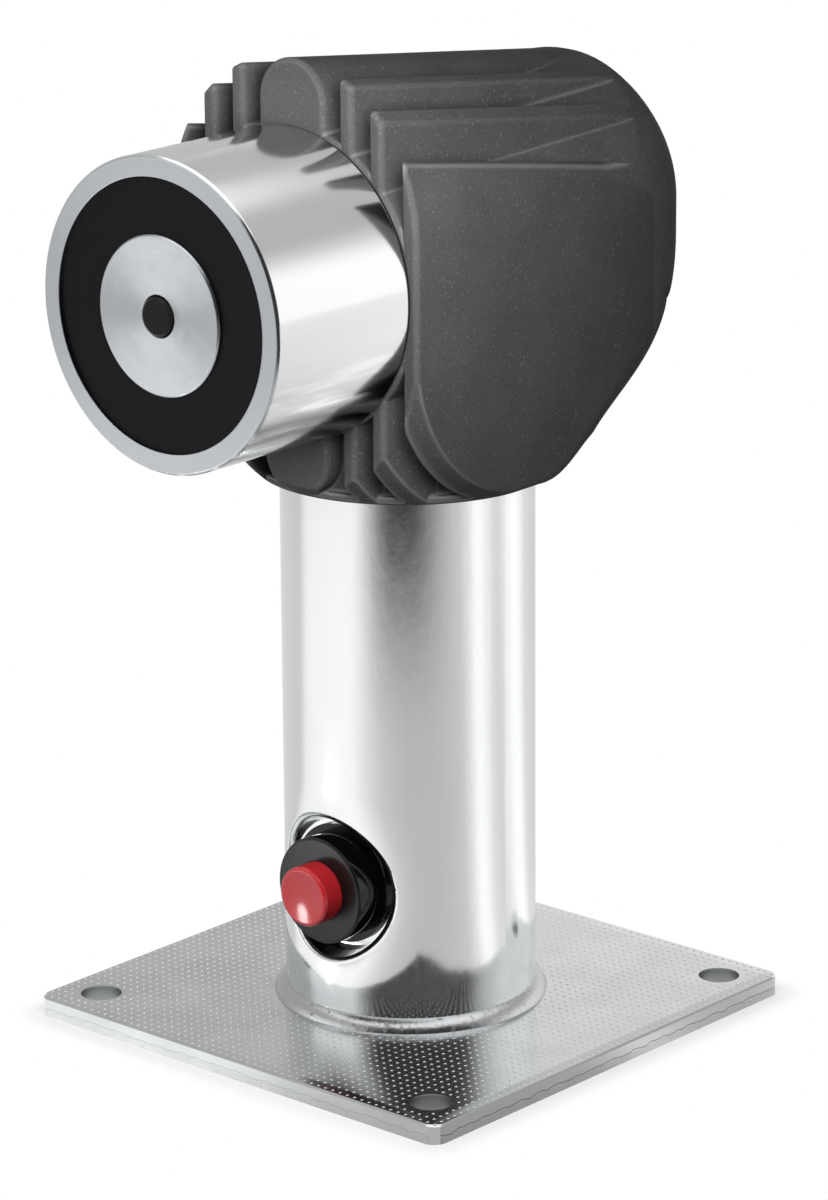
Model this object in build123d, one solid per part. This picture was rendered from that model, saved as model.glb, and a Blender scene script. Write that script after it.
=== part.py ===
from build123d import *
from math import radians, sin, sqrt, tan
import os

# Door holder electromagnet on a floor stand, in millimetres.
# Origin: centre of the base plate's underside, on the axis of the post.
# +Z points up the post, and the magnet's pole face looks along -Y.

# Base plate
plate_side = 106.0
plate_thickness = 4.0
plate_corner = 3.0
bolt_edge = 9.0
bolt_pitch = plate_side - 2 * bolt_edge
bolt_hole_radius = 4.1
cable_hole_radius = 20.0
plate_edge_break = 0.4

# Post
post_radius = 25.0
post_wall = 2.0
post_top_below_axis = 12.0
weld_leg = 2.4
weld_bulge = 0.62

# Height of the magnet's axis above the floor
axis_height = 155.0

# Push button seat, pressed flat into the front of the post
button_height = 31.4
seat_radius = 12.9
seat_side_depth = 1.617
seat_draft = 18.0
seat_plane = sqrt(post_radius**2 - seat_radius**2) - seat_side_depth
seat_lip = 1.2
seat_lip_search = 4.0
button_hole_radius = 8.15

# Head housing, seen along the magnet's axis
head_front = 32.0
head_back = 60.0
head_half_width = 31.1
head_top = 43.0
head_bottom = 42.5
top_fall = 0.125
side_draft = 0.03

# Rounding of the back of the housing
back_height = 1.0
top_round_start = 44.3
top_round_power = 2.4
side_round_start = 26.8
side_round_power = 3.5
bottom_round_start = 23.2
bottom_round_power = 1.67
under_corner_start = 4.7
under_corner_run = 30.0
under_corner_height = 16.0
least_corner = 0.05
corner_width_share = 0.95
corner_height_share = 0.45
loft_steps = 3
back_start = 48.5
back_steps = 4
back_flat = 0.3
quarter_turn = 90
chin_height = 9.0

# Fins, and the round core that they stand on
rib_half_width = 8.2
rib_inset = 0.3
fin_start = 12.1
fin_thickness = 3.2
fin_pitch = 7.4
cheek_inner = 27.4
core_radius = 30.2
core_rise = 0.0325
collar_wall = 3.4
collar_radius = post_radius + collar_wall
rim_wall = 5.0
rim_radius = post_radius + rim_wall
rim_height = 1.6
edge_round = 0.8

# Hollow inside the housing
front_wall = 4.0
cavity_radius = 25.5
cavity_back = 42.0
spacer_radius = 11.0
lead_hole_radius = 3.0
lead_hole_offset = 19.0
post_fit = 0.1
stud_clearance = 0.3

# Magnet
magnet_radius = 30.0
magnet_length = 35.2
magnet_floor = 9.0
pot_bore_radius = 26.0
face_chamfer = 0.5
seal_thickness = 1.1
seal_width = 4.0
seal_inset = 0.5
pole_radius = 15.25
pole_proud = 0.2
pole_hole_radius = 3.8
pole_hole_depth = 5.0
pole_hole_chamfer = 0.35
pin_bore_radius = 4.7
stud_radius = 5.0
stud_engagement = 10.0
stud_chamfer = 0.5
potting_thickness = 4.0
potting_recess = 0.7
potting_fit = 0.02

# Coil
bobbin_wall = 1.2
bobbin_clearance = 0.1
winding_depth = 7.6

# Release pin, pushed out of the pole by its spring
pin_clearance = 0.06
pin_proud = 0.6
pin_head_thickness = 2.0
pin_edge = 0.4
pin_spring_radius = 3.6
pin_spring_wire = 0.6
pin_spring_turns = 5

# Block that closes the top of the post and takes the magnet's stud
block_clearance = 0.05
block_spigot = 18.0
boss_width = 22.0
boss_front = 22.0
boss_back = 12.0
boss_above_axis = 11.0
stud_depth = 14.0
drill_over = 1.0
wire_hole_radius = 3.5
wire_hole_wall = 2.0
wire_hole_offset = post_radius - post_wall - wire_hole_wall - wire_hole_radius
block_screw_radius = 2.0
block_screw_head_radius = 3.6
block_screw_length = 9.0
block_screw_sink = 0.4

# Terminal block on top of it
terminal_width = 26.0
terminal_depth = 14.0
terminal_height = 9.0
terminal_sides = 2
first_pole = 4.4
pole_pitch = 5.2
clamp_radius = 2.1
clamp_bore = 1.3
clamp_inset = 1.0
clamp_axis_height = 3.4
clamp_screw_radius = 1.1
clamp_screw_head_radius = 1.7
clamp_screw_offset = 3.4
fixing_screw_radius = 1.25
fixing_screw_head_radius = 2.2
fixing_screw_head = 1.4
fixing_screw_length = 13.0

# Push button
bezel_radius = 10.75
bezel_height = 6.4
bezel_round = 0.5
flange_radius = 12.1
flange_thickness = 0.8
thread_radius = 8.0
body_length = 20.0
body_bore_radius = 6.8
guide_length = 10.0
cap_radius = 6.05
cap_clearance = 0.08
cap_proud = 4.8
cap_round = 0.7
cap_dish = 0.4
cap_dish_radius = 5.2
cap_flange = 1.2
button_travel = 2.0
stem_radius = 2.6
tip_radius = 2.0
bridge_radius = 5.6
bridge_thickness = 0.8
bridge_from_rear = 6.2
base_thickness = 3.0
contact_gap = 0.05
contact_thickness = 0.6
contact_width = 2.6
contact_pad = 2.2
contact_outer = 6.5
lug_length = 5.0
lug_eye_radius = 0.6
button_spring_radius = 3.2
button_spring_wire = 0.5
button_spring_turns = 4
washer_radius = 11.0
washer_thickness = 0.8
nut_flats = 20.0
nut_height = 3.0

fit_clearance = 0.05


def along_y(solid, y, z=axis_height):
    """Turn a solid made along +Z so that it points along -Y, with its base at y."""
    return Pos(0, y, z) * Rot(90, 0, 0) * solid


def rod(radius, length):
    return extrude(Circle(radius), length)


def ring(outer, inner, length):
    return extrude(Circle(outer) - Circle(inner), length)


def coil_spring(radius, wire, height, turns):
    """Open compression spring of square wire along +Z, within the height."""
    rise = height - wire - 2 * fit_clearance
    path = Helix(pitch=rise / turns, height=rise, radius=radius)
    section = Plane(origin=path @ 0, z_dir=path % 0) * Rectangle(wire, wire)
    return Pos(0, 0, wire / 2 + fit_clearance) * sweep(section, path=path)


# Base plate: cut from sheet, four bolt holes and a cable hole under the post
def base_plate():
    blank = extrude(RectangleRounded(plate_side, plate_side, plate_corner), plate_thickness)
    blank = chamfer(blank.faces().sort_by(Axis.Z)[-1].outer_wire().edges(), plate_edge_break)
    holes = GridLocations(bolt_pitch, bolt_pitch, 2, 2) * Cylinder(bolt_hole_radius, 4 * plate_thickness)
    return blank - holes - Cylinder(cable_hole_radius, 4 * plate_thickness)


# Post: drawn tube with a flat, round button seat pressed into its front
post_top = axis_height - post_top_below_axis
post_bore = post_radius - post_wall
block_screw_height = post_top - block_spigot / 2


def post_tube():
    length = post_top - plate_thickness
    tube = Pos(0, 0, plate_thickness) * ring(post_radius, post_bore, length)
    outside = Pos(0, 0, plate_thickness) * rod(post_radius, length)
    seat_depth = post_radius - seat_plane
    cup_depth = seat_depth + post_wall
    cup = along_y(seat_cone(post_wall, cup_depth), -post_radius + cup_depth, button_height)
    pocket = along_y(seat_cone(0, 2 * seat_depth), -seat_plane, button_height)
    hole = along_y(rod(button_hole_radius, 2 * post_radius), 0, button_height)
    tube = tube + (cup & outside) - pocket
    tube = fillet(seat_edge(tube), seat_lip)
    return tube - hole - block_screw_holes()


def seat_cone(wall, depth):
    """Cone of the pressed seat, with the wall around it, that widens towards the front."""
    bottom = seat_radius + wall
    top = bottom + depth * tan(radians(seat_draft))
    return Cone(bottom, top, depth, align=(Align.CENTER, Align.CENTER, Align.MIN))


def seat_edge(tube):
    """The curved edge where the seat's pocket meets the outside of the post."""
    reach = seat_radius + seat_lip_search
    near = [
        edge for edge in tube.edges()
        if edge.center().Y < -seat_plane
        and sqrt(edge.center().X ** 2 + (edge.center().Z - button_height) ** 2) < reach
    ]
    return [edge for edge in near if edge.geom_type not in (GeomType.LINE, GeomType.CIRCLE)]


def block_screw(clearance=0.0):
    """Countersunk screw along +X, its head just under the outside of the post."""
    radius = block_screw_radius + clearance
    head_radius = block_screw_head_radius + clearance
    cone = head_radius - radius
    profile = Polyline(
        (0, 0), (head_radius, 0), (radius, cone), (radius, block_screw_length + clearance),
        (0, block_screw_length + clearance), close=True,
    )
    screw = revolve(Plane.XZ * make_face(profile), Axis.Z)
    return Pos(post_radius - block_screw_sink, 0, block_screw_height) * Rot(0, -90, 0) * screw


def block_screw_holes():
    """Holes for the two screws, open to the outside of the post."""
    mouth = Pos(post_radius - block_screw_sink, 0, block_screw_height) * Rot(0, 90, 0) * rod(
        block_screw_head_radius + fit_clearance, post_radius
    )
    hole = block_screw(fit_clearance) + mouth
    return hole + mirror(hole, Plane.YZ)


# Weld: a fillet bead round the foot of the post
def weld_bead():
    foot = (post_radius, plate_thickness)
    toe = (post_radius + weld_leg, plate_thickness)
    top = (post_radius, plate_thickness + weld_leg)
    middle = (post_radius + weld_bulge * weld_leg, plate_thickness + weld_bulge * weld_leg)
    profile = make_face(Line(top, foot) + Line(foot, toe) + ThreePointArc(toe, middle, top))
    return revolve(Plane.XZ * profile, Axis.Z)


# Head housing: one moulding, a tapered arch that closes in a rounded back
def round_off(y, start, power):
    """Share of full size that is left at y, on a superellipse from start to the back."""
    part = max(0.0, (y - start) / (head_back - start))
    return (1 - part**power) ** (1 / power)


def ease(part):
    """Smooth step from 0 to 1 while part goes from 0 to 1."""
    part = min(1.0, max(0.0, part))
    return part * part * (3 - 2 * part)


def head_section(y):
    """Arch-shaped section of the housing at y, heights from the magnet's axis."""
    straight_width = head_half_width - side_draft * (y + head_front)
    straight_top = head_top - top_fall * (y + head_front)
    half_width = straight_width * round_off(y, side_round_start, side_round_power)
    top = back_height + (straight_top - back_height) * round_off(y, top_round_start, top_round_power)
    bottom = back_height - (back_height + head_bottom) * round_off(y, bottom_round_start, bottom_round_power)
    arch = min(half_width, (top - bottom) / 2)
    corner = max(least_corner, ease((y - under_corner_start) / under_corner_run))
    corner_width = corner_width_share * half_width * corner
    corner_height = min(under_corner_height * corner, corner_height_share * (top - bottom))
    spring = top - arch
    shoulder = bottom + corner_height
    inner = half_width - corner_width
    turn = quarter_turn
    wire = (
        EllipticalCenterArc((0, spring), half_width, arch, start_angle=0, arc_size=2 * turn)
        + Line((-half_width, spring), (-half_width, shoulder))
        + EllipticalCenterArc((-inner, shoulder), corner_width, corner_height, 2 * turn, arc_size=turn)
        + Line((-inner, bottom), (inner, bottom))
        + EllipticalCenterArc((inner, shoulder), corner_width, corner_height, 3 * turn, arc_size=turn)
        + Line((half_width, shoulder), (half_width, spring))
    )
    return Plane(origin=(0, y, axis_height), x_dir=(1, 0, 0), z_dir=(0, -1, 0)) * make_face(wire)


def head_envelope():
    """Straight front, then three lofts that meet behind the ends of the fins."""
    front = loft([head_section(-head_front), head_section(under_corner_start)], ruled=True)
    steps = [step / loft_steps for step in range(loft_steps + 1)]
    back_parts = [sin(radians(quarter_turn * step / back_steps)) for step in range(back_steps + 1)]
    spans = [
        (under_corner_start, bottom_round_start, steps),
        (bottom_round_start, back_start, steps),
        (back_start, head_back - back_flat, back_parts),
    ]
    body = front & chin_shape()
    for start, end, parts in spans:
        body += loft([head_section(start + (end - start) * part) for part in parts])
    return body


def chin_shape():
    """Ball about the post's axis that rounds the lower front, open to the top and the back."""
    centre = axis_height - chin_height
    size = 3 * head_back
    chin = Pos(0, 0, centre) * Sphere(sqrt(head_half_width**2 + head_front**2))
    chin += Pos(0, size / 2, centre) * Box(size, size, size)
    return chin + Pos(0, 0, centre + size / 2) * Box(size, size, size)


def rib_section(y):
    """Round-ended section of the middle rib at y, just inside the arch."""
    top = head_top - rib_inset - top_fall * (y + head_front)
    bottom = head_bottom - rib_inset
    plane = Plane(origin=(0, y, axis_height + (top - bottom) / 2), x_dir=(1, 0, 0), z_dir=(0, -1, 0))
    return plane * Rot(0, 0, 90) * SlotOverall(top + bottom, 2 * rib_half_width)


def fin_slabs():
    """Upright slabs that the outer shape trims to fins and cheeks, on both sides."""
    second_fin = fin_start + fin_pitch
    spans = [
        (fin_start, fin_start + fin_thickness),
        (second_fin, second_fin + fin_thickness),
        (cheek_inner, 2 * head_half_width),
    ]
    size = 4 * head_back
    right = [
        Pos((inner + outer) / 2, 0, axis_height) * Box(outer - inner, size, size) for inner, outer in spans
    ]
    return right + [mirror(slab, Plane.YZ) for slab in right]


def fin_structure():
    """Round core, middle rib, collar, rim, fins and cheeks, all longer than the housing."""
    over = rim_height
    front = -head_front - over
    lean = Plane(origin=(0, front, axis_height - over * core_rise), x_dir=(1, 0, 0), z_dir=(0, 1, core_rise))
    core = extrude(lean * Circle(core_radius), 2 * head_back)
    rib = loft([rib_section(front), rib_section(head_back + over)])
    below = Pos(0, 0, axis_height - head_bottom - over)
    collar = below * rod(collar_radius, head_bottom + over)
    rim = below * rod(rim_radius, rim_height + over)
    return core + collar + rim + rib + fin_slabs()


def soft_edges(body):
    """The outline of the housing's front, and the top edges of the fins that start there."""
    front = body.faces().filter_by(Axis.Y).sort_by(Axis.Y)[0]
    second_fin = fin_start + fin_pitch
    sides = [fin_start, fin_start + fin_thickness, second_fin, second_fin + fin_thickness]
    tops = []
    for edge in body.edges().filter_by(GeomType.BSPLINE):
        box = edge.bounding_box()
        from_front = abs(box.min.Y + head_front) < fit_clearance and box.size.Y > head_front
        upright = box.size.X < fit_clearance
        if from_front and upright and any(abs(abs(box.min.X) - side) < fit_clearance for side in sides):
            tops.append(edge)
    return front.outer_wire().edges() + tops


def head_cavity():
    """Room for the block and the terminals, open to the post below."""
    inner_front = -head_front + front_wall
    room = along_y(rod(cavity_radius, cavity_back - inner_front), cavity_back)
    bore = Pos(0, 0, axis_height - head_bottom) * rod(post_radius + post_fit, head_bottom)
    spacer = along_y(rod(spacer_radius, -boss_front - inner_front), -boss_front)
    return room + bore - spacer


def head_holes():
    """Stud hole and lead hole through the front wall."""
    stud_hole = along_y(rod(stud_radius + stud_clearance, head_front), 0)
    lead_hole = along_y(rod(lead_hole_radius, head_front), 0, axis_height + lead_hole_offset)
    return stud_hole + lead_hole


def head_housing():
    body = head_envelope() & fin_structure()
    return fillet(soft_edges(body), edge_round) - head_cavity() - head_holes()


# Block: turned and milled, its spigot screwed into the post, its boss tapped for the stud
boss_top = axis_height + boss_above_axis


def mount_block():
    spigot = Pos(0, 0, post_top - block_spigot) * rod(post_bore - block_clearance, block_spigot)
    boss_depth = boss_front + boss_back
    boss = Pos(0, (boss_back - boss_front) / 2, post_top) * Box(
        boss_width, boss_depth, boss_top - post_top, align=(Align.CENTER, Align.CENTER, Align.MIN)
    )
    drill_depth = stud_depth + drill_over
    stud_hole = along_y(rod(stud_radius + fit_clearance, drill_depth), drill_depth - boss_front)
    wire_hole = Pos(0, wire_hole_offset, post_top - block_spigot) * rod(wire_hole_radius, block_spigot)
    fixing_hole = Pos(0, 0, boss_top + terminal_height - fixing_screw_length) * rod(
        fixing_screw_radius + fit_clearance, fixing_screw_length
    )
    return spigot + boss - stud_hole - wire_hole - fixing_hole - block_screw_holes()


def block_screws():
    screw = block_screw()
    return Compound(children=[screw, mirror(screw, Plane.YZ)])


# Terminal block: moulded body, brass clamp tubes and their screws
pole_offsets = [
    side * (first_pole + step * pole_pitch) for side in (-1, 1) for step in range(terminal_sides)
]
clamp_height = boss_top + clamp_axis_height
clamp_length = terminal_depth - 2 * clamp_inset


def clamp_screw_places():
    return [
        Pos(x, y, 0) for x in pole_offsets for y in (-clamp_screw_offset, clamp_screw_offset)
    ]


def terminal_block():
    body = Pos(0, 0, boss_top) * Box(
        terminal_width, terminal_depth, terminal_height, align=(Align.CENTER, Align.CENTER, Align.MIN)
    )
    for x in pole_offsets:
        tube_room = rod(clamp_radius + fit_clearance, clamp_length)
        body -= Pos(x, 0, 0) * along_y(tube_room, clamp_length / 2, clamp_height)
        body -= Pos(x, 0, 0) * along_y(rod(clamp_bore, 2 * terminal_depth), terminal_depth, clamp_height)
    screw_room = Pos(0, 0, clamp_height) * rod(clamp_screw_head_radius + fit_clearance, terminal_height)
    for place in clamp_screw_places():
        body -= place * screw_room
    return body - fixing_screw(fit_clearance)


def terminal_clamps():
    clamps = []
    for x in pole_offsets:
        clamp = along_y(ring(clamp_radius, clamp_bore, clamp_length), clamp_length / 2, clamp_height)
        for y in (-clamp_screw_offset, clamp_screw_offset):
            clamp -= Pos(0, y, clamp_height) * rod(clamp_screw_radius + fit_clearance, terminal_height)
        clamps.append(Pos(x, 0, 0) * clamp)
    return Compound(children=clamps)


def terminal_screws():
    seat = clamp_height + clamp_radius
    tip = clamp_height + clamp_bore / 2
    head = boss_top + terminal_height - clamp_inset
    screw = Pos(0, 0, tip) * rod(clamp_screw_radius, seat - tip)
    screw += Pos(0, 0, seat) * rod(clamp_screw_head_radius, head - seat)
    return Compound(children=[place * screw for place in clamp_screw_places()])


def fixing_screw(clearance=0.0):
    """Countersunk-in screw through the middle of the terminal block into the boss."""
    top = boss_top + terminal_height
    length = fixing_screw_length - clearance
    shank = Pos(0, 0, top - length) * rod(fixing_screw_radius + clearance, length - clearance)
    head = Pos(0, 0, top - fixing_screw_head - clearance) * rod(
        fixing_screw_head_radius + clearance, fixing_screw_head + clearance
    )
    return shank + head


# Magnet: turned steel pot and pole, coil between them, sealed with resin
pot_back = -head_front - seal_thickness
pot_face = pot_back - magnet_length
pot_inner_floor = pot_back - magnet_floor
pole_face = pot_face - pole_proud
stud_front = pot_inner_floor - stud_engagement
stud_back = stud_depth - boss_front
pin_shoulder = pole_face + pole_hole_depth
potting_front = pot_face + potting_recess
potting_back = potting_front + potting_thickness


def magnet_seal():
    outer = magnet_radius - seal_inset
    return along_y(ring(outer, outer - seal_width, seal_thickness), -head_front)


def magnet_pot():
    body = along_y(rod(magnet_radius, magnet_length), pot_back)
    body = chamfer(body.faces().sort_by(Axis.Y)[0].edges(), face_chamfer)
    body -= along_y(rod(pot_bore_radius, magnet_length), pot_inner_floor)
    body -= along_y(rod(stud_radius + fit_clearance, magnet_length), pot_back)
    return body - along_y(rod(lead_hole_radius, magnet_length), pot_back, axis_height + lead_hole_offset)


def pole_core():
    body = along_y(rod(pole_radius, pot_inner_floor - pole_face), pot_inner_floor)
    body = chamfer(body.faces().sort_by(Axis.Y)[0].edges(), pole_hole_chamfer)
    body -= along_y(rod(pole_hole_radius, magnet_length), pot_inner_floor)
    mouth = body.faces().sort_by(Axis.Y)[0].inner_wires()[0].edges()
    body = chamfer(mouth, pole_hole_chamfer)
    body -= along_y(rod(pin_bore_radius, pot_inner_floor - pin_shoulder), pot_inner_floor)
    return body - along_y(rod(stud_radius + fit_clearance, pot_inner_floor - stud_front), pot_inner_floor)


def magnet_stud():
    stud = along_y(rod(stud_radius, stud_back - stud_front), stud_back)
    return chamfer(stud.faces().filter_by(Plane.XZ).edges(), stud_chamfer)


def coil_bobbin():
    inner = pole_radius + bobbin_clearance
    outer = pot_bore_radius - bobbin_clearance
    length = pot_inner_floor - potting_back
    hub = ring(inner + bobbin_wall, inner, length)
    flange = ring(outer, inner, bobbin_wall)
    bobbin = hub + flange + Pos(0, 0, length - bobbin_wall) * flange
    return along_y(bobbin, pot_inner_floor)


def coil_winding():
    inner = pole_radius + bobbin_clearance + bobbin_wall + fit_clearance
    length = pot_inner_floor - potting_back - 2 * (bobbin_wall + fit_clearance)
    return along_y(ring(inner + winding_depth, inner, length), pot_inner_floor - bobbin_wall - fit_clearance)


def potting_ring():
    outer = pot_bore_radius - potting_fit
    inner = pole_radius + potting_fit
    return along_y(ring(outer, inner, potting_thickness), potting_back)


# Release pin: pushed out by its spring, pushed flush by the door's plate
def release_pin():
    head_radius = pin_bore_radius - pin_clearance
    shoulder = pin_shoulder + fit_clearance
    stem = along_y(rod(pole_hole_radius - pin_clearance, shoulder - pole_face + pin_proud), shoulder)
    stem = chamfer(stem.faces().sort_by(Axis.Y)[0].edges(), pin_edge)
    return stem + along_y(rod(head_radius, pin_head_thickness), shoulder + pin_head_thickness)


def release_spring():
    back = stud_front
    front = pin_shoulder + fit_clearance + pin_head_thickness
    return along_y(coil_spring(pin_spring_radius, pin_spring_wire, back - front, pin_spring_turns), back)


# Push button: panel switch clamped in the post's seat, red cap on a sprung bridge
flange_face = -seat_plane - flange_thickness
bezel_face = flange_face - bezel_height
body_rear = body_length - seat_plane
guide_rear = bezel_face + guide_length
base_front = body_rear - base_thickness
cap_face = bezel_face - cap_proud
cap_flange_front = guide_rear + fit_clearance
cap_flange_rear = cap_flange_front + cap_flange
tip_rear = base_front - button_travel - fit_clearance
bridge_front = base_front - bridge_from_rear
bridge_rear = bridge_front + bridge_thickness
seat_back = -seat_plane + post_wall
contact_front = bridge_front - contact_gap - contact_thickness


def button_body():
    body = along_y(rod(bezel_radius, bezel_height), flange_face, button_height)
    body = fillet(body.faces().sort_by(Axis.Y)[0].edges(), bezel_round)
    body += along_y(rod(flange_radius, flange_thickness), -seat_plane, button_height)
    body += along_y(rod(thread_radius, body_length), body_rear, button_height)
    guide = along_y(rod(cap_radius + cap_clearance, guide_length), guide_rear, button_height)
    chamber = along_y(rod(body_bore_radius, body_rear - guide_rear), body_rear, button_height)
    return body - guide - chamber


def button_cap():
    cap = along_y(rod(cap_radius, cap_flange_front - cap_face), cap_flange_front, button_height)
    cap = fillet(cap.faces().sort_by(Axis.Y)[0].edges(), cap_round)
    ball_radius = (cap_dish_radius**2 + cap_dish**2) / (2 * cap_dish)
    cap -= Pos(0, cap_face + cap_dish - ball_radius, button_height) * Sphere(ball_radius)
    cap += along_y(rod(body_bore_radius - cap_clearance, cap_flange), cap_flange_rear, button_height)
    cap += along_y(rod(stem_radius, bridge_front - cap_flange_rear), bridge_front, button_height)
    return cap + along_y(rod(tip_radius, tip_rear - bridge_front), tip_rear, button_height)


def contact_bridge():
    disc = ring(bridge_radius, tip_radius + fit_clearance, bridge_thickness)
    return along_y(disc, bridge_rear, button_height)


def button_spring():
    height = base_front - bridge_rear
    spring = coil_spring(button_spring_radius, button_spring_wire, height, button_spring_turns)
    return along_y(spring, base_front, button_height)


def contact_strip(clearance=0.0, outer=contact_outer):
    """Bent strip on the +X side: a pad in front of the bridge, a leg and a soldering lug."""
    inner = contact_outer - contact_thickness - clearance
    rear = body_rear + lug_length
    width = contact_width + 2 * clearance
    pad_end = inner - contact_pad
    pad_rear = contact_front + contact_thickness
    outline = Polyline(
        (outer, contact_front), (outer, rear), (inner, rear), (inner, pad_rear),
        (pad_end, pad_rear), (pad_end, contact_front), close=True,
    )
    return Pos(0, 0, button_height - width / 2) * extrude(make_face(outline), width)


def fixed_contacts():
    eye_place = Pos(0, body_rear + lug_length / 2, button_height) * Rot(0, 90, 0)
    eye = eye_place * rod(lug_eye_radius, 2 * contact_outer)
    strip = contact_strip() - eye
    return Compound(children=[strip, mirror(strip, Plane.YZ)])


def switch_base():
    plug = along_y(rod(body_bore_radius - fit_clearance, base_thickness), body_rear, button_height)
    slot = contact_strip(fit_clearance, body_bore_radius)
    return plug - slot - mirror(slot, Plane.YZ)


def button_washer():
    washer = ring(washer_radius, thread_radius + fit_clearance, washer_thickness)
    return along_y(washer, seat_back + washer_thickness, button_height)


def button_nut():
    nut = extrude(RegularPolygon(nut_flats / 2, 6, major_radius=False), nut_height)
    nut -= rod(thread_radius + fit_clearance, nut_height)
    return along_y(nut, seat_back + washer_thickness + nut_height, button_height)


makers = [
    base_plate, post_tube, weld_bead, head_housing, mount_block, block_screws,
    terminal_block, terminal_clamps, terminal_screws, fixing_screw,
    magnet_seal, magnet_pot, pole_core, magnet_stud, coil_bobbin, coil_winding, potting_ring,
    release_pin, release_spring,
    button_body, button_cap, contact_bridge, button_spring, fixed_contacts, switch_base,
    button_washer, button_nut,
]

os.makedirs("parts", exist_ok=True)
for maker in makers:
    export_step(maker(), f"parts/{maker.__name__}.step")
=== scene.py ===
from math import cos, pi, radians, sin

import bmesh
import bpy
from mathutils import Matrix, Vector


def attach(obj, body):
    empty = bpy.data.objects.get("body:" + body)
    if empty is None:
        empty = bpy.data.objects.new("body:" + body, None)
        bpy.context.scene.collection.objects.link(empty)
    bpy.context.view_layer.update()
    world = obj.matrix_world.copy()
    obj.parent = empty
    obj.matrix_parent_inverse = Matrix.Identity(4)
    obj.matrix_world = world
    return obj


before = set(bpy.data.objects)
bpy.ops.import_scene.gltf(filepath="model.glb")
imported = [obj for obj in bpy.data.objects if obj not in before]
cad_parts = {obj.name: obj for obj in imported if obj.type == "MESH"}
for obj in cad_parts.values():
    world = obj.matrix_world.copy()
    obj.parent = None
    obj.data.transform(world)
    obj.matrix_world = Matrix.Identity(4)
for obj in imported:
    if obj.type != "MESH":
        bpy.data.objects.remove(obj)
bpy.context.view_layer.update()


# Base plate: a square of steel sheet, sheared and drilled, with a grid of small raised dots
# rolled into its top, then bright zinc plated. It lies on the floor and carries the rest.
class Shade:
    """A socket that can be used in a sum. Each operation adds its Math node."""

    def __init__(self, graph, socket):
        self.graph = graph
        self.socket = socket

    def math(self, operation, *others):
        return self.graph.node("ShaderNodeMath", {"operation": operation}, [self, *others])

    def __add__(self, other):
        return self.math("ADD", other)

    def __radd__(self, other):
        return self.math("ADD", other)

    def __sub__(self, other):
        return self.math("SUBTRACT", other)

    def __rsub__(self, other):
        return self.graph.node("ShaderNodeMath", {"operation": "SUBTRACT"}, [other, self])

    def __mul__(self, other):
        return self.math("MULTIPLY", other)

    def __rmul__(self, other):
        return self.math("MULTIPLY", other)

    def __truediv__(self, other):
        return self.math("DIVIDE", other)

    def __pow__(self, other):
        return self.math("POWER", other)

    def __abs__(self):
        return self.math("ABSOLUTE")

    def __gt__(self, other):
        return self.math("GREATER_THAN", other)

    def __lt__(self, other):
        return self.math("LESS_THAN", other)

    def at_least(self, other):
        return self.math("MAXIMUM", other)

    def at_most(self, other):
        return self.math("MINIMUM", other)

    def smooth(self, start, end):
        """0 at start, 1 at end, with a soft step between them."""
        settings = {"interpolation_type": "SMOOTHSTEP"}
        return self.graph.node("ShaderNodeMapRange", settings, [self, start, end, 0.0, 1.0])


class Graph:
    """The nodes of a material or of the world."""

    def __init__(self, tree):
        self.tree = tree

    def node(self, kind, settings=None, inputs=(), output=0):
        """One node: its settings first, then the values or links of its sockets."""
        made = self.tree.nodes.new(kind)
        settings = dict(settings or {})
        stops = settings.pop("stops", ())
        for name, value in settings.items():
            setattr(made, name, value)
        for number, (position, level) in enumerate(stops):
            elements = made.color_ramp.elements
            element = elements[number] if number < 2 else elements.new(position)
            element.position = position
            element.color = (level, level, level, 1)
        pairs = inputs.items() if isinstance(inputs, dict) else enumerate(inputs)
        for name, value in pairs:
            self.fill(made.inputs[name], value)
        return Shade(self, made.outputs[output])

    def fill(self, socket, value):
        if isinstance(value, Shade):
            self.tree.links.new(value.socket, socket)
        else:
            socket.default_value = value

    def vector_math(self, operation, *vectors, output="Vector"):
        return self.node("ShaderNodeVectorMath", {"operation": operation}, vectors, output)

    def mix(self, mask, first, second):
        """Colour that goes from first to second with the mask. A Mix node's colour sockets are
        the numbers 6 and 7, and 2 on its way out."""
        sockets = {0: mask, 6: first, 7: second}
        return self.node("ShaderNodeMix", {"data_type": "RGBA"}, sockets, 2)


class Finish(Graph):
    """A material: one Principled shader and the nodes that feed it."""

    def __init__(self, name, constants):
        self.material = bpy.data.materials.new(name)
        self.material.use_nodes = True
        super().__init__(self.material.node_tree)
        self.shader = self.tree.nodes["Principled BSDF"]
        self.feed(constants)
        self.place = self.node("ShaderNodeTexCoord", None, (), "Object")
        parts = self.node("ShaderNodeSeparateXYZ", None, [self.place]).socket.node
        self.x, self.y, self.z = [Shade(self, socket) for socket in parts.outputs]

    def feed(self, sockets):
        for name, value in sockets.items():
            self.fill(self.shader.inputs[name], value)

    def noise(self, size, detail=2.0, stretch=(1, 1, 1)):
        """Smooth noise whose lumps are about this many metres across."""
        place = self.place
        if stretch != (1, 1, 1):
            place = self.vector_math("MULTIPLY", place, stretch)
        sockets = {"Vector": place, "Scale": 1 / size, "Detail": detail}
        return self.node("ShaderNodeTexNoise", None, sockets)

    def bump(self, height, under=None):
        """Normal for a height in metres, on top of another normal where one is given."""
        sockets = {"Strength": 1.0, "Distance": 1.0, "Height": height}
        if under is not None:
            sockets["Normal"] = under
        return self.node("ShaderNodeBump", None, sockets)

    def dress(self, *names):
        """Gives this material to every slot of the CAD nodes with these names."""
        for name in names:
            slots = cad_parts[name].data.materials
            if len(slots) == 0:
                slots.append(self.material)
            for number in range(len(slots)):
                slots[number] = self.material


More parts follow.
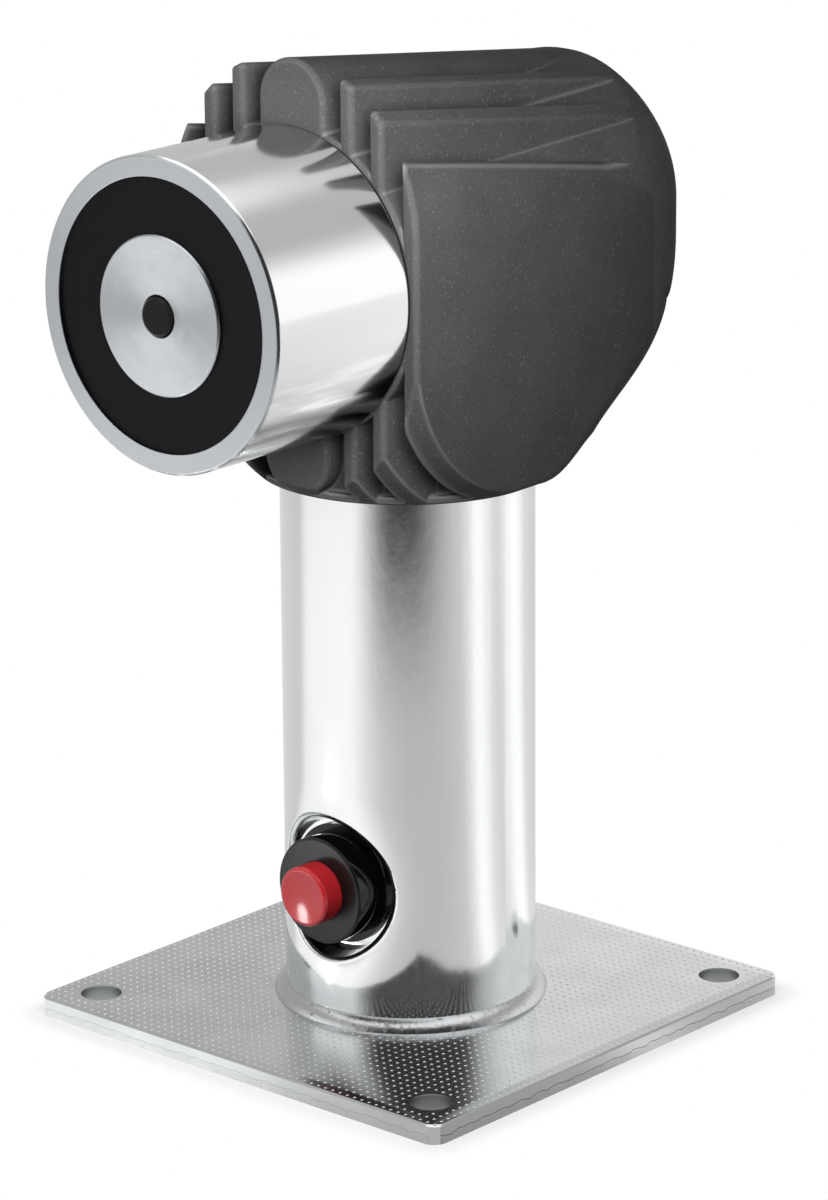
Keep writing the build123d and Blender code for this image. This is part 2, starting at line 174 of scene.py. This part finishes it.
def span(across, along):
    """How far these two steps at right angles lead, as numbers or as sockets."""
    return (across * across + along * along) ** 0.5


plate_half = 0.053
plate_top = 0.004
side_skin = 0.0003
torn_height = 0.0017
rolled_edge = 0.0032
bolt_offset = 0.044
bolt_hole_radius = 0.0045

plate_zinc = Finish("Bright zinc on rolled sheet", {"Metallic": 1.0})
edge_gap = plate_half - abs(plate_zinc.x).at_least(abs(plate_zinc.y))
side = edge_gap < side_skin
sheared = (plate_zinc.z + 0.0006 * plate_zinc.noise(0.004)) < torn_height
torn = side * sheared
# The two sides that face along x are darker and rougher than the other two.
x_facing_sides = side * (abs(plate_zinc.x) > abs(plate_zinc.y))
from_hole = span(abs(plate_zinc.x) - bolt_offset, abs(plate_zinc.y) - bolt_offset)
drilled = (from_hole < bolt_hole_radius) * (plate_zinc.z < plate_top - side_skin)
split_height = 0.0008 + 0.0018 * plate_zinc.noise(0.004, 4.0, (1, 1, 0.1))
split = side * (abs(plate_zinc.z - split_height) < 0.0001)
clouds = plate_zinc.noise(0.012, 3.0)
plate_color = plate_zinc.mix(
    clouds.smooth(0.3, 0.7), (0.63, 0.645, 0.65, 1), (0.7, 0.715, 0.72, 1)
)
plate_color = plate_zinc.mix(torn * 0.15 + x_facing_sides * 0.75, plate_color, (0.42, 0.42, 0.43, 1))
plate_color = plate_zinc.mix(drilled, plate_color, (0.3, 0.31, 0.315, 1))
plate_color = plate_zinc.mix(split * (0.25 + 0.5 * x_facing_sides), plate_color, (0.08, 0.08, 0.08, 1))
roll = (1 - edge_gap.smooth(0.0, rolled_edge)) * (1 - side)
tear = torn * plate_zinc.noise(0.0008, 3.0, (1, 1, 0.4)) * 0.0003
plate_zinc.feed({
    "Base Color": plate_color,
    "Roughness": 0.16 + 0.05 * clouds + 0.1 * torn + 0.1 * x_facing_sides + 0.2 * drilled,
    "Normal": plate_zinc.bump(tear - roll * 0.0002 + 0.00001 * clouds),
})
plate_zinc.dress("base_plate")

dot_pitch = 0.00185
dot_radius = 0.00036
dot_tip = 0.3
dot_height = 0.00016
dot_root = 0.00002
dots_each_way = 28
clear_of_post = 0.0281
clear_of_hole = 0.0047
clear_of_edge = 0.0011

dots = bmesh.new()
for column in range(-dots_each_way, dots_each_way + 1):
    for row in range(-dots_each_way, dots_each_way + 1):
        x, y = column * dot_pitch, row * dot_pitch
        in_post = span(x, y) < clear_of_post
        in_hole = span(abs(x) - bolt_offset, abs(y) - bolt_offset) < clear_of_hole
        if in_post or in_hole or max(abs(x), abs(y)) > plate_half - clear_of_edge:
            continue
        bmesh.ops.create_cone(
            dots, cap_ends=True, segments=8,
            radius1=dot_radius, radius2=dot_radius * dot_tip, depth=dot_height,
            matrix=Matrix.Translation((x, y, plate_top + dot_height / 2 - dot_root)),
        )


def build_object(mesh_builder, name, material):
    """Turns a finished bmesh into an object of the scene."""
    mesh = bpy.data.meshes.new(name)
    mesh_builder.to_mesh(mesh)
    mesh_builder.free()
    mesh.materials.append(material)
    built = bpy.data.objects.new(name, mesh)
    bpy.context.scene.collection.objects.link(built)
    return built


def finish_piece(mesh_builder, name, material, body):
    """Makes a smooth piece that rides a body and wears the given material."""
    piece = build_object(mesh_builder, name, material)
    for face in piece.data.polygons:
        face.use_smooth = True
    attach(piece, body)


# The dots wear the plate's zinc, but their colour is painted lighter than the plate's: a painted
# highlight.
dot_zinc_painted_highlight = Finish("Bright zinc on the raised dots", {"Metallic": 1.0})
dot_zinc_painted_highlight.feed({
    "Base Color": dot_zinc_painted_highlight.mix(
        dot_zinc_painted_highlight.noise(0.01), (0.86, 0.87, 0.88, 1), (0.94, 0.95, 0.95, 1)
    ),
    "Roughness": 0.1 + 0.1 * dot_zinc_painted_highlight.noise(0.006),
})
finish_piece(dots, "plate_dots", dot_zinc_painted_highlight.material, "stand")


# Weld: one bead of filler round the foot of the post, ground a little and plated with the
# plate. It joins the post to the plate.
weld_zinc = Finish("Bright zinc on the weld", {"Metallic": 1.0})
beading = weld_zinc.noise(0.0011, 4.0)
pits = beading.smooth(0.64, 0.74)
weld_zinc.feed({
    "Base Color": weld_zinc.mix(pits, (0.52, 0.53, 0.54, 1), (0.25, 0.25, 0.25, 1)),
    "Roughness": 0.18 + 0.2 * beading,
    "Normal": weld_zinc.bump(0.00007 * beading - 0.0001 * pits),
})
weld_zinc.dress("weld_bead")


# Post: drawn steel tube, ground, polished and plated. A flat round seat for the button is
# pressed into its front, which draws the wall around it in a little.
seat_height = 0.0314
seat_radius = 0.0135
draw_width = 0.009
draw_depth = 0.0013

post_chrome = Finish("Polished plated tube", {"Metallic": 1.0})
from_seat = span(post_chrome.x, post_chrome.z - seat_height)
on_front = post_chrome.y < 0.0
draw_in = ((seat_radius + draw_width - from_seat) / draw_width).at_least(0.0).at_most(1.0)
draw_in = draw_in ** 2 * on_front
drawing_marks = post_chrome.noise(0.0012, 3.0, (1, 1, 0.06))
orange_peel = post_chrome.noise(0.0028, 3.0, (1, 1, 0.5))
post_tone = post_chrome.noise(0.02, 4.0, (1, 1, 0.5))
post_height = 0.000006 * drawing_marks + 0.00003 * orange_peel - draw_depth * draw_in
post_chrome.feed({
    "Base Color": post_chrome.mix(post_tone, (0.72, 0.735, 0.74, 1), (0.8, 0.81, 0.815, 1)),
    "Roughness": 0.07 + 0.05 * post_tone + 0.04 * drawing_marks,
    "Normal": post_chrome.bump(post_height),
})
post_chrome.dress("post_tube")


# Push button: a glossy black bezel and barrel moulded in one, and a red cap that slides in it.
# A washer and a nut inside the post hold it, and behind the cap are a spring and the contacts.
bezel_face = -0.027
bezel_face_skin = 0.0004

button_black = Finish("Glossy black moulding", {"IOR": 1.45, "Specular IOR Level": 0.35})
on_face = button_black.y < bezel_face + bezel_face_skin
haze = button_black.noise(0.003)
button_black.feed({
    "Base Color": button_black.mix(on_face, (0.003, 0.003, 0.003, 1), (0.005, 0.005, 0.005, 1)),
    "Roughness": 0.06 + 0.22 * on_face + 0.04 * haze,
    "Normal": button_black.bump(0.000004 * haze),
})
button_black.dress("button_body", "switch_base")

button_red = Finish("Smooth red moulding", {"IOR": 1.5})
rubbed = button_red.noise(0.002)
button_red.feed({
    "Base Color": button_red.mix(rubbed, (0.5, 0.016, 0.024, 1), (0.57, 0.024, 0.034, 1)),
    "Roughness": 0.08 + 0.05 * rubbed,
    "Normal": button_red.bump(0.000004 * rubbed),
})
button_red.dress("button_cap")


def plain_finish(name, constants, dark, light, lump, smoothest, roughest):
    """A finish that varies a little between two tones and two roughnesses."""
    made = Finish(name, constants)
    tone = made.noise(lump, 3.0)
    made.feed({
        "Base Color": made.mix(tone, dark, light),
        "Roughness": smoothest + (roughest - smoothest) * tone,
    })
    return made


bright_brass = plain_finish(
    "Bright brass", {"Metallic": 1.0},
    (0.7, 0.5, 0.2, 1), (0.85, 0.65, 0.3, 1), 0.002, 0.2, 0.35,
)
bright_brass.dress("contact_bridge", "fixed_contacts", "terminal_clamps")
spring_wire = plain_finish(
    "Spring wire", {"Metallic": 1.0},
    (0.5, 0.5, 0.52, 1), (0.65, 0.65, 0.67, 1), 0.002, 0.25, 0.4,
)
spring_wire.dress("button_spring", "release_spring", "button_washer")
zinc_hardware = plain_finish(
    "Zinc plated hardware", {"Metallic": 1.0},
    (0.6, 0.61, 0.63, 1), (0.74, 0.75, 0.76, 1), 0.003, 0.25, 0.4,
)
zinc_hardware.dress("button_nut", "block_screws", "magnet_stud", "terminal_screws", "fixing_screw")


# Block and terminals: a milled aluminium block closes the top of the post, and a moulded
# terminal block with brass clamps is screwed on top of it, inside the head.
block_metal = plain_finish(
    "Milled aluminium", {"Metallic": 1.0},
    (0.7, 0.7, 0.71, 1), (0.8, 0.8, 0.81, 1), 0.004, 0.3, 0.45,
)
block_metal.dress("mount_block")
terminal_grey = plain_finish(
    "Light grey moulding", {},
    (0.66, 0.66, 0.64, 1), (0.74, 0.74, 0.72, 1), 0.004, 0.45, 0.6,
)
terminal_grey.dress("terminal_block")


# Head: one moulding of dark glass-filled plastic with a fine grain, its fins softly rounded
# and its cheeks slightly crowned. It slips over the post and is clamped between the magnet
# and the block.
cheek_x = 0.0285
crown_z = 0.165
edge_round = 0.0014

head_plastic = Finish("Dark glass-filled moulding", {"IOR": 1.47, "Specular IOR Level": 0.05})
grain = head_plastic.noise(0.0006, 3.0)
specks = head_plastic.noise(0.0005, 1.0).smooth(0.62, 0.76)
flow = head_plastic.noise(0.012, 4.0)
head_tone = head_plastic.mix(
    0.6 * flow + 0.4 * grain, (0.052, 0.052, 0.0517, 1), (0.112, 0.112, 0.111, 1)
)

# The rounded edges are painted lighter: a painted highlight along every edge.
soft_corner = head_plastic.node("ShaderNodeBevel", {"samples": 6}, {"Radius": edge_round})
flat = head_plastic.node("ShaderNodeNewGeometry", None, (), "True Normal")
painted_edge_highlight = 1 - head_plastic.vector_math("DOT_PRODUCT", soft_corner, flat, output="Value")
head_tone = head_plastic.mix(painted_edge_highlight.smooth(0.008, 0.1), head_tone, (0.23, 0.229, 0.227, 1))

# The cheeks are crowned: behind the post's middle they turn a little to the back, and in
# their lower part a little downwards.
on_cheek = abs(head_plastic.x) > cheek_x
crown_back = head_plastic.y.at_least(0.0) * 3.0
crown_down = (head_plastic.z - crown_z).at_most(0.0) * 4.0
crown = head_plastic.node(
    "ShaderNodeCombineXYZ", None, [0.0, on_cheek * crown_back, on_cheek * crown_down]
)
crowned = head_plastic.vector_math("ADD", soft_corner, crown)
crowned = head_plastic.vector_math("NORMALIZE", crowned)
head_plastic.feed({
    "Base Color": head_plastic.mix(specks * 0.45, head_tone, (0.26, 0.255, 0.24, 1)),
    "Roughness": 0.65 + 0.15 * grain,
    "Normal": head_plastic.bump(0.00004 * grain, crowned),
})
head_plastic.dress("head_housing")


# Magnet: a turned steel pot with a turned pole in its middle, both bright plated, the coil on
# a nylon bobbin between them under black casting resin, and a thin black seal between the pot
# and the head. A stud through the head clamps it to the block.
magnet_axis = 0.155
pot_face = -0.0683
rim_skin = 0.0002
pot_edge = 0.0003
grooves_per_metre = 1000000.0
turned_steel = (0.56, 0.59, 0.61, 1)


def turned_normal(finish, amount):
    """Normal of a turned face that looks along -Y: each groove leans in or out its own way."""
    across = finish.x
    up = finish.z - magnet_axis
    radius = span(across, up)
    groove = (radius * grooves_per_metre).math("FLOOR")
    chance = finish.node("ShaderNodeTexWhiteNoise", {"noise_dimensions": "1D"}, {"W": groove})
    lean = (chance * 2 - 1) * amount / radius
    turned = finish.node("ShaderNodeCombineXYZ", None, [across * lean, 0.0, up * lean])
    base = finish.node("ShaderNodeBevel", {"samples": 6}, {"Radius": pot_edge})
    return finish.vector_math("NORMALIZE", finish.vector_math("ADD", base, turned))


pot_steel = Finish("Bright plated pot", {"Metallic": 1.0})
on_rim = pot_steel.y < pot_face + rim_skin
handling = pot_steel.noise(0.01, 4.0)
streaks = pot_steel.noise(0.004, 4.0, (1, 0.12, 1))
low_side = 1 - (pot_steel.z - magnet_axis).smooth(-0.022, -0.003)
bright = pot_steel.mix(on_rim, (0.8, 0.81, 0.82, 1), turned_steel)
# Streaks on the lower part of the pot's side are darker, so the side gets darker towards the
# bottom.
darker_low_streaks = streaks.smooth(0.28, 0.56) * low_side * (1 - on_rim)
pot_steel.feed({
    "Base Color": pot_steel.mix(darker_low_streaks * 0.9, bright, (0.2, 0.205, 0.21, 1)),
    "Roughness": 0.08 + 0.06 * handling + 0.04 * streaks + 0.16 * on_rim,
    "Normal": pot_steel.bump(0.00002 * streaks, turned_normal(pot_steel, on_rim * 0.16)),
})
pot_steel.dress("magnet_pot")

pole_steel = Finish("Turned pole face", {"Metallic": 1.0})
pole_steel.feed({
    "Base Color": pole_steel.mix(pole_steel.noise(0.004), turned_steel, (0.64, 0.67, 0.69, 1)),
    "Roughness": 0.2 + 0.05 * pole_steel.noise(0.002),
    "Normal": turned_normal(pole_steel, 0.3),
})
pole_steel.dress("pole_core")

potting = Finish("Black casting resin", {"IOR": 1.4, "Specular IOR Level": 0.15})
dust = potting.noise(0.0005)
potting.feed({
    "Base Color": potting.mix(
        dust.smooth(0.68, 0.8), (0.003, 0.003, 0.004, 1), (0.02, 0.02, 0.024, 1)
    ),
    "Roughness": 0.34 + 0.1 * dust,
    "Normal": potting.bump(0.00001 * dust),
})
potting.dress("potting_ring")

seal_rubber = plain_finish(
    "Black seal", {},
    (0.01, 0.01, 0.01, 1), (0.02, 0.02, 0.02, 1), 0.002, 0.5, 0.7,
)
seal_rubber.dress("magnet_seal")
bobbin_nylon = plain_finish(
    "Natural nylon", {},
    (0.66, 0.63, 0.54, 1), (0.74, 0.71, 0.62, 1), 0.003, 0.4, 0.55,
)
bobbin_nylon.dress("coil_bobbin")
coil_copper = Finish("Enamelled copper wire", {"Metallic": 1.0})
turns = coil_copper.noise(0.0006, 1.0, (0.02, 1, 0.02))
coil_copper.feed({
    "Base Color": coil_copper.mix(turns, (0.5, 0.18, 0.08, 1), (0.68, 0.3, 0.14, 1)),
    "Roughness": 0.25 + 0.15 * turns,
})
coil_copper.dress("coil_winding")


# Release pin: a black pin in the middle of the pole, held out by a spring behind it so that it
# pushes the door's plate off when the coil is switched off.
pin_black = plain_finish(
    "Black pin", {"IOR": 1.4, "Specular IOR Level": 0.22},
    (0.004, 0.004, 0.004, 1), (0.01, 0.01, 0.01, 1), 0.001, 0.2, 0.3,
)
pin_black.dress("release_pin")


# Studio: a white floor, a large soft light in front on the left, a small one near the head and
# a wide one behind. A table and walls with light and dark bands, and a small glint lamp, are
# only there to be mirrored in the metal and the cap.
camera_turn = radians(41.584)
camera_tilt = radians(16.937)
to_camera = Vector((sin(camera_turn), -cos(camera_turn), 0))
to_right = Vector((cos(camera_turn), sin(camera_turn), 0))
white = (1, 1, 1, 1)

world = bpy.data.worlds.new("Studio")
world.use_nodes = True
bpy.context.scene.world = world
air = Graph(world.node_tree)
camera_ray = air.node("ShaderNodeLightPath", None, (), "Is Camera Ray")
glossy_ray = air.node("ShaderNodeLightPath", None, (), "Is Glossy Ray")
clear_ray = air.node("ShaderNodeLightPath", None, (), "Is Transmission Ray")
seen = (camera_ray + glossy_ray + clear_ray) > 0.5
dim = (0.07, 0.07, 0.07, 1)
background = world.node_tree.nodes["Background"]
air.fill(background.inputs["Color"], air.mix(seen, dim, white))


def show(finish, shader):
    """Makes this shader the one that the material shows."""
    finish.fill(finish.tree.nodes["Material Output"].inputs["Surface"], shader)


def emission(finish, color, strength=1.0):
    return finish.node("ShaderNodeEmission", None, {"Color": color, "Strength": strength})


# The floor keeps the shadow close to the plate and is plain white from 7 mm beyond its edge.
floor_radius = 6.0
shadow_start = plate_half - 0.003

floor_finish = Finish("White floor", {"Roughness": 0.9, "Specular IOR Level": 0.0})
seen_by_camera = floor_finish.node("ShaderNodeLightPath", None, (), "Is Camera Ray")
floor_finish.feed({
    "Base Color": floor_finish.mix(seen_by_camera, (0.1, 0.1, 0.1, 1), (0.93, 0.93, 0.93, 1)),
})
beyond = span(
    (abs(floor_finish.x) - shadow_start).at_least(0.0),
    (abs(floor_finish.y) - shadow_start).at_least(0.0),
)
past_shadow = 0.1 + 0.5 * beyond.smooth(0.0, 0.003) + 0.4 * beyond.smooth(0.003, 0.01)
lit = Shade(floor_finish, floor_finish.shader.outputs[0])
show(floor_finish, floor_finish.node(
    "ShaderNodeMixShader", None,
    {0: past_shadow * seen_by_camera, 1: lit, 2: emission(floor_finish, white)},
))
floor_builder = bmesh.new()
bmesh.ops.create_circle(floor_builder, cap_ends=True, segments=96, radius=floor_radius)
floor = build_object(floor_builder, "floor", floor_finish.material)
floor.visible_glossy = False


def mirrored_only(mesh_builder, name):
    """A studio surface that only reflections see, and the finish that it glows with."""
    finish = Finish(name, {})
    surface = build_object(mesh_builder, name, finish.material)
    surface.visible_camera = False
    surface.visible_diffuse = False
    surface.visible_shadow = False
    surface.visible_transmission = False
    return surface, finish


def bearing_on(finish):
    """Degrees round the post from the camera's side, growing to the right."""
    ahead = finish.vector_math("DOT_PRODUCT", finish.place, to_camera, output="Value")
    beside = finish.vector_math("DOT_PRODUCT", finish.place, to_right, output="Value")
    return beside.math("ARCTAN2", ahead) * (180 / pi)


def banded(finish, bearing, bands):
    """Level that goes through these bands, each a bearing in degrees and a level."""
    stops = [((angle + 180) / 360, level) for angle, level in bands]
    return finish.node("ShaderNodeValToRGB", {"stops": stops}, [(bearing + 180) / 360])


def glow(finish, level):
    color = finish.node("ShaderNodeCombineColor", None, [level, level, level])
    show(finish, emission(finish, color))


table_radius = 1.6
table_drop = 0.001
table_builder = bmesh.new()
bmesh.ops.create_circle(table_builder, cap_ends=True, segments=96, radius=table_radius)
bmesh.ops.translate(table_builder, vec=(0, 0, -table_drop), verts=table_builder.verts)
table, table_finish = mirrored_only(table_builder, "table")
bearing = bearing_on(table_finish)
table_level = banded(table_finish, bearing, [
    (-180, 0.8), (-150, 0.77), (-112, 0.75), (-102, 1.1), (-92, 1.16), (-60, 1.22), (-50, 1.2),
    (-41, 1.03), (-32, 0.88), (-23, 0.75), (-12, 0.67), (0, 0.63), (20, 0.63), (37, 0.68),
    (46, 0.74), (55, 1.0), (61, 1.28), (67, 1.26), (76, 0.96), (86, 0.84), (94, 1.05),
    (104, 1.28), (114, 1.28), (126, 0.9), (150, 0.74), (180, 0.76),
])
reach = span(table_finish.x, table_finish.y)
in_front = bearing.smooth(-48, -12) * (1 - bearing.smooth(0, 45))
on_left = (1 - bearing.smooth(-58, -40)) * bearing.smooth(-170, -120)
fade_in_front = in_front * 0.97 * reach.smooth(0.205, 0.45)
fade_on_left = on_left * 0.5 * reach.smooth(0.38, 0.6)
glow(table_finish, table_level * (1 - fade_in_front - fade_on_left))

wall_radius = 1.7
walls_builder = bmesh.new()
bmesh.ops.create_uvsphere(walls_builder, u_segments=64, v_segments=32, radius=wall_radius)
walls, wall_finish = mirrored_only(walls_builder, "walls")
bearing = bearing_on(wall_finish)
wall_level = banded(wall_finish, bearing, [
    (-180, 0.6), (-172.8, 0.55), (-108, 0.6), (-97.2, 1.2), (-54, 1.2), (-43.2, 0.4),
    (-32.4, 0.04), (54, 0.04), (68.4, 0.7), (93.6, 1.25), (133.2, 1.25), (151.2, 1.0), (180, 0.95),
])
height = wall_finish.z / wall_radius
ceiling = height.smooth(0.32, 0.6)
overhead = height.smooth(0.74, 0.82)
in_front = bearing.smooth(-50, -30) * (1 - bearing.smooth(40, 65))
room = wall_level * (1 - ceiling) + (0.55 - 0.52 * in_front) * ceiling
glow(wall_finish, room * (1 - overhead) + 1.5 * overhead)

glint_radius = 0.006
glint_strength = 16.0
glint_place = (-0.0634, -0.1063, 0.0078)
glint_builder = bmesh.new()
bmesh.ops.create_icosphere(glint_builder, subdivisions=3, radius=glint_radius)
bmesh.ops.translate(glint_builder, vec=glint_place, verts=glint_builder.verts)
glint, glint_finish = mirrored_only(glint_builder, "glint_lamp")
show(glint_finish, emission(glint_finish, white, glint_strength))


def soft_light(name, bearing, lift, away, width, tall, level):
    """A rectangular light aimed at the head. Its bearing, counted from the camera's side, and
    its lift are in degrees."""
    lamp = bpy.data.lights.new(name, "AREA")
    lamp.shape = "RECTANGLE"
    lamp.size = width
    lamp.size_y = tall
    lamp.energy = level * pi * width * tall
    light = bpy.data.objects.new(name, lamp)
    bpy.context.scene.collection.objects.link(light)
    level_way = to_camera * cos(radians(bearing)) + to_right * sin(radians(bearing))
    target = Vector((0, 0, 0.13))
    place = target + away * (level_way * cos(radians(lift)) + Vector((0, 0, sin(radians(lift)))))
    light.location = place
    light.rotation_euler = (place - target).to_track_quat("Z", "Y").to_euler()
    light.visible_glossy = False
    light.visible_camera = False


soft_light("key", bearing=-60, lift=6, away=0.9, width=0.6, tall=0.6, level=4.5)
soft_light("side", bearing=3, lift=29, away=0.185, width=0.1, tall=0.1, level=13.0)
soft_light("back", bearing=183, lift=3, away=0.9, width=0.9, tall=0.24, level=15.0)


# Camera: a long lens about a metre away, turned and tilted as in the photo, and aimed so that
# the part fills the picture.
sensor_width = 36.0
focal_pixels = 5243.558
frame_pixels = 1200
camera_distance = 1.02561
camera_lean = radians(-0.409)
aim_height = 0.104
shift_right = 0.001253
shift_up = -0.018427

camera_data = bpy.data.cameras.new("camera")
camera_data.sensor_width = sensor_width
camera_data.lens = sensor_width * focal_pixels / frame_pixels
camera_data.clip_start = 0.05
camera_data.clip_end = 20.0
camera = bpy.data.objects.new("camera", camera_data)
bpy.context.scene.collection.objects.link(camera)
facing = (
    Matrix.Rotation(camera_turn, 4, "Z")
    @ Matrix.Rotation(pi / 2 - camera_tilt, 4, "X")
    @ Matrix.Rotation(camera_lean, 4, "Z")
)
right, up, back = [facing.col[number].to_3d() for number in range(3)]
aim = Vector((0, 0, aim_height)) + shift_right * right + shift_up * up
facing.translation = aim + camera_distance * back
camera.matrix_world = facing
bpy.context.scene.camera = camera

bpy.context.scene.view_settings.view_transform = "Standard"
